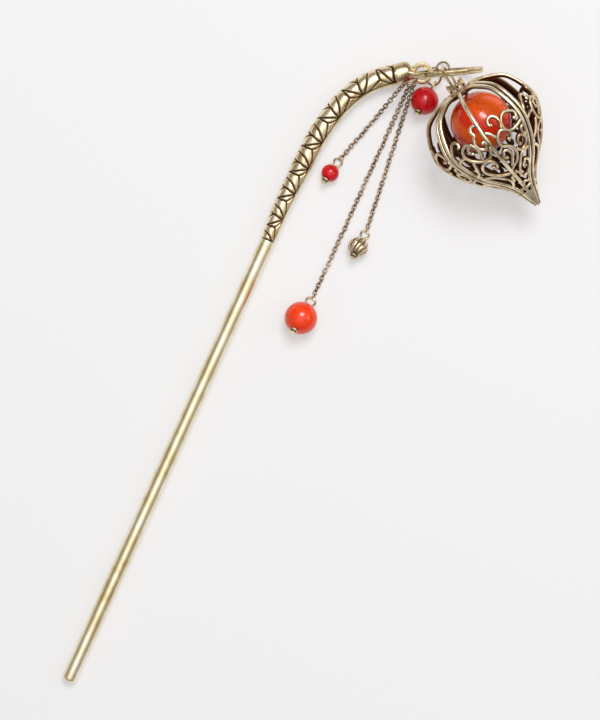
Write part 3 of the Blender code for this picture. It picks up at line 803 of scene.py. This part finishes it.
# %% The scrolls are drawn as a caster's pattern maker would: a few places along each stroke,
# joined by a smooth line. The first place of a curl is its inner end, which carries a small ball.
CURLS = [
    [(12.8, 16.5), (9.6, 16.2), (11, 15.0), (15.5, 14.7), (19.5, 15.5), (20, 17), (17, 18.6)],
    [(32.5, 18.0), (36.5, 18.3), (38.2, 17.2), (34, 16.1), (28, 15.7), (22.5, 16.6),
     (19.6, 18.2), (21.5, 19.6), (27, 20.2), (34, 20), (41, 19.4)],
    [(17.0, 21.4), (21.5, 21.6), (23.2, 20.4), (20, 19.2), (15, 18.7), (10, 19.6), (8, 20.9),
     (9.5, 22.3), (14.5, 23), (18.8, 24.2), (20, 26), (16, 27.8), (9, 28.7), (2, 29.4)],
    [(8.5, 25.4), (5.6, 25.6), (4.2, 24.6), (7, 23.6), (11.5, 23.8), (14, 25.2), (11, 27),
     (6, 28.4)],
    [(30.5, 24.3), (27.6, 24.6), (26.4, 23.6), (30, 22.6), (35, 22.8), (38, 24.2), (34.5, 25.7),
     (27, 26), (21.6, 24.9)],
    [(30.5, 31.0), (25, 31.2), (24.5, 30.0), (30, 29.3), (36, 30), (38, 31.8), (31, 33.6),
     (20, 34), (11.5, 33.2), (15, 31.2), (20, 28.8), (25, 27.1), (33, 26.7), (41, 26.4)],
    [(-29, 16.9), (-26.6, 16.3), (-28.4, 15.3), (-33, 15.3), (-37, 16.6), (-41, 18.4)],
    [(-18, 19.5), (-20.4, 19.7), (-21, 18.5), (-17, 17.7), (-13.4, 18.6), (-13, 20.5),
     (-15.5, 22.4)],
    [(-14, 17.9), (-20, 17.1), (-26, 17.8), (-28.6, 19.5), (-25.6, 21.3), (-18, 22.6),
     (-10, 22.9), (-4.6, 21.9), (-1, 20.2)],
    [(-6, 19.0), (-3.6, 18.6), (-2.8, 19.5), (-5.4, 20.3), (-9.6, 19.9), (-12, 18.4),
     (-10, 16.9), (-7.6, 16.2), (-8.8, 15.1), (-6.4, 14.3), (-2, 14.3)],
    [(-14.5, 25.4), (-12.8, 26.4), (-9.6, 26.1), (-8.4, 24.7), (-12.6, 23.5), (-20, 23.5),
     (-26, 24.7), (-27, 26.4), (-22, 28.2), (-14, 29.6), (-6, 30.2), (-1, 30.2)],
]
STROKES = [
    [(1.5, 17.0), (5.5, 17.9), (9, 19.6)],
    [(41, 20.8), (36.5, 21.2), (36, 22.4), (41, 23.2)],
    [(2, 31.4), (7, 31), (12, 32.4)],
    [(1, 36.0), (14, 35.5), (28, 35.8), (40, 35.4)],
    [(-41, 25.9), (-34.5, 25.1), (-29.5, 23.3), (-26, 21.4)],
    [(-41, 20.6), (-35, 19.7), (-28.4, 19.6)],
    [(-41, 27.0), (-33, 27.8), (-25, 29), (-19, 31.1), (-15.6, 33), (-21, 34.4), (-31, 35),
     (-41, 35)],
    [(-1, 32.2), (-6, 31.8), (-11, 33.6), (-15.6, 33)],
    [(-42, 36.6), (-20, 37), (0, 37.2), (20, 37), (42, 36.6)],
    [(-43, 1.2), (-20, 1.1), (0, 1.1), (20, 1.1), (43, 1.2)],
]


def stroke_line(points, per_span=7):
    return smooth_route([(a, d, 0) for a, d in points], per_span)


# %% [markdown]
# Each petal is its three ribs, its curls and its strokes, with a solid wedge at the point where
# the four petals meet. The same strokes serve all four, a quarter turn apart.

# %% Petals
def petal_tip(bm, turn):
    """The solid wedge at the petal's point."""
    start, rows, columns, wall = CURVE_LENGTH - 4.6, 10, 8, 0.8

    def place(i, j):
        distance = start + (CURVE_LENGTH - start) * i / rows
        half = side_turn(distance, 0.02)
        sheet = 0 if j <= columns else 1
        share = j / columns if not sheet else (2 * columns + 1 - j) / columns
        depth = SINK + sheet * min(wall, 0.6)
        there, _ = on_cage(turn + half * (2 * min(max(share, 0), 1) - 1), distance, depth)
        # The wedge's inner sheet gets a lower relief, darker: patina and painted shade inside the
        # cage.
        return there, 0.9 - 0.5 * sheet

    wrap(bm, rows, 2 * columns + 1, place)


PETAL_TURNS = {"front": 0, "right": pi / 2, "back": pi, "left": 3 * pi / 2}
for name, turn in PETAL_TURNS.items():
    bm = bmesh.new()
    bar(bm, stroke_line([(0, RIB_START), (0, 10), (0, 20), (0, 30), (0, RIB_END)], 20), RIB_R, turn,
        sides=12, taper=False, flank=0.45)
    for side in (-1, 1):
        spots = [1.0 + (RIB_END - 1.0) * k / 60 for k in range(61)]
        path = [Vector((side * side_turn(d, RIB_R) * 180 / pi, d, 0)) for d in spots]
        bar(bm, path, RIB_R, turn, sides=12, taper=False, flank=0.45)
    for stroke in CURLS:
        bar(bm, stroke_line(stroke), SCROLL_R, turn, ball=0.5)
    for stroke in STROKES:
        bar(bm, stroke_line(stroke), SCROLL_R, turn, taper=False)
    petal_tip(bm, turn)
    bmesh.ops.remove_doubles(bm, verts=bm.verts, dist=1e-4)
    bmesh.ops.holes_fill(bm, edges=[e for e in bm.edges if e.is_boundary], sides=0)
    piece(f"petal_{name}_scrolls", bm, "cage", CAGE_LOOK, [f"petal_{name}"],
          weld=1e-4)

# %% [markdown]
# ## Floor and light
# The pin lies on a sheet of white acrylic that is lit a little from below, under a large soft
# light and a dimmer one, so the shadows are faint and wide. Polished metal shows what is round
# it, so the sky is brighter above than at the sides: without that difference brass looks flat.

# %% Floor
bm = bmesh.new()
bmesh.ops.create_grid(bm, x_segments=1, y_segments=1, size=3)
bmesh.ops.translate(bm, verts=bm.verts, vec=(0, 0, -0.00002))
mesh = bpy.data.meshes.new("table_top")
bm.to_mesh(mesh)
bm.free()
table_top = bpy.data.objects.new("table_top", mesh)
bpy.context.collection.objects.link(table_top)
look, tree, shader = new_look("lit_white_acrylic", roughness=0.9, emission_strength=0.38)
shader.inputs["Base Color"].default_value = linear("#b4b3b3")
shader.inputs["Emission Color"].default_value = (1, 0.995, 0.99, 1)
place = add(tree, "TexCoord")
fibre = add(tree, "TexNoise", {"Vector": (place, "Object")}, {"Scale": per_mm(0.8), "Detail": 3})
tooth = add(tree, "Bump", {"Height": (fibre, "Fac")}, {"Strength": 0.02, "Distance": 0.01 * MM})
tree.links.new(tooth.outputs["Normal"], shader.inputs["Normal"])
table_top.data.materials.append(look)

# %% [markdown]
# The room is bright overhead and dimmer to the sides, and two soft lamps stand in for a studio's
# softboxes.

# %% Lights
world_look = bpy.data.worlds.new("soft_room")
bpy.context.scene.world = world_look
world_look.use_nodes = True
tree = world_look.node_tree
room = tree.nodes["Background"]
place = add(tree, "TexCoord")
split = add(tree, "SeparateXYZ", {0: (place, "Generated")})
shade = ramp(tree, (split, "Z"), [(0.0, (0.16, 0.155, 0.15, 1)), (0.96, (1.0, 1.0, 1.0, 1)),
                                 (0.55, (0.2, 0.2, 0.2, 1)), (0.86, (0.4, 0.4, 0.4, 1))])
tree.links.new(shade.outputs["Color"], room.inputs["Color"])
room.inputs["Strength"].default_value = 1.5


def soft_light(name, place, aim, size, watts):
    lamp = bpy.data.lights.new(name, "AREA")
    lamp.shape, lamp.size, lamp.energy = "DISK", size, watts
    made = bpy.data.objects.new(name, lamp)
    made.location = place
    made.rotation_euler = (Vector(aim) - Vector(place)).to_track_quat("-Z", "Y").to_euler()
    bpy.context.collection.objects.link(made)


STICK_WAY = Vector((0.91036, 0.41302, 0))
SIDE_WAY = Vector((0.41302, -0.91036, 0))
middle = Vector((0.03, 0, 0))
soft_light("main_softbox", middle + STICK_WAY * 0.3 + SIDE_WAY * 0.08 + UP * 0.66,
           middle, 0.34, 3.0)
soft_light("side_softbox", middle + SIDE_WAY * 0.5 + UP * 0.4, middle, 0.35, 0.4)

# %% [markdown]
# ## Camera
# The camera looks straight down from 550 mm, turned so that the stick runs up to the right.

# %% Camera
CAMERA_HEIGHT, CAMERA_AIM = 0.55, (87.38, -17.7, 0)
SENSOR, LONG_SIDE = 36.0, 0.1626
data = bpy.data.cameras.new("camera")
data.sensor_width = SENSOR
data.lens = SENSOR * CAMERA_HEIGHT / LONG_SIDE
camera = bpy.data.objects.new("camera", data)
bpy.context.collection.objects.link(camera)
aim = world(CAMERA_AIM)
back = SIDE_WAY.cross(STICK_WAY)
turn = Matrix((SIDE_WAY, STICK_WAY, back)).transposed()
camera.matrix_world = Matrix.Translation(aim + UP * CAMERA_HEIGHT) @ turn.to_4x4()
data.clip_start, data.clip_end = 0.01, 10
bpy.context.scene.camera = camera
bpy.context.scene.view_settings.view_transform = "Standard"
print("camera at", camera.location, "lens", round(data.lens, 1))

# %% Tidy up: remove the spare link mesh
bpy.data.meshes.remove(ONE_LINK)
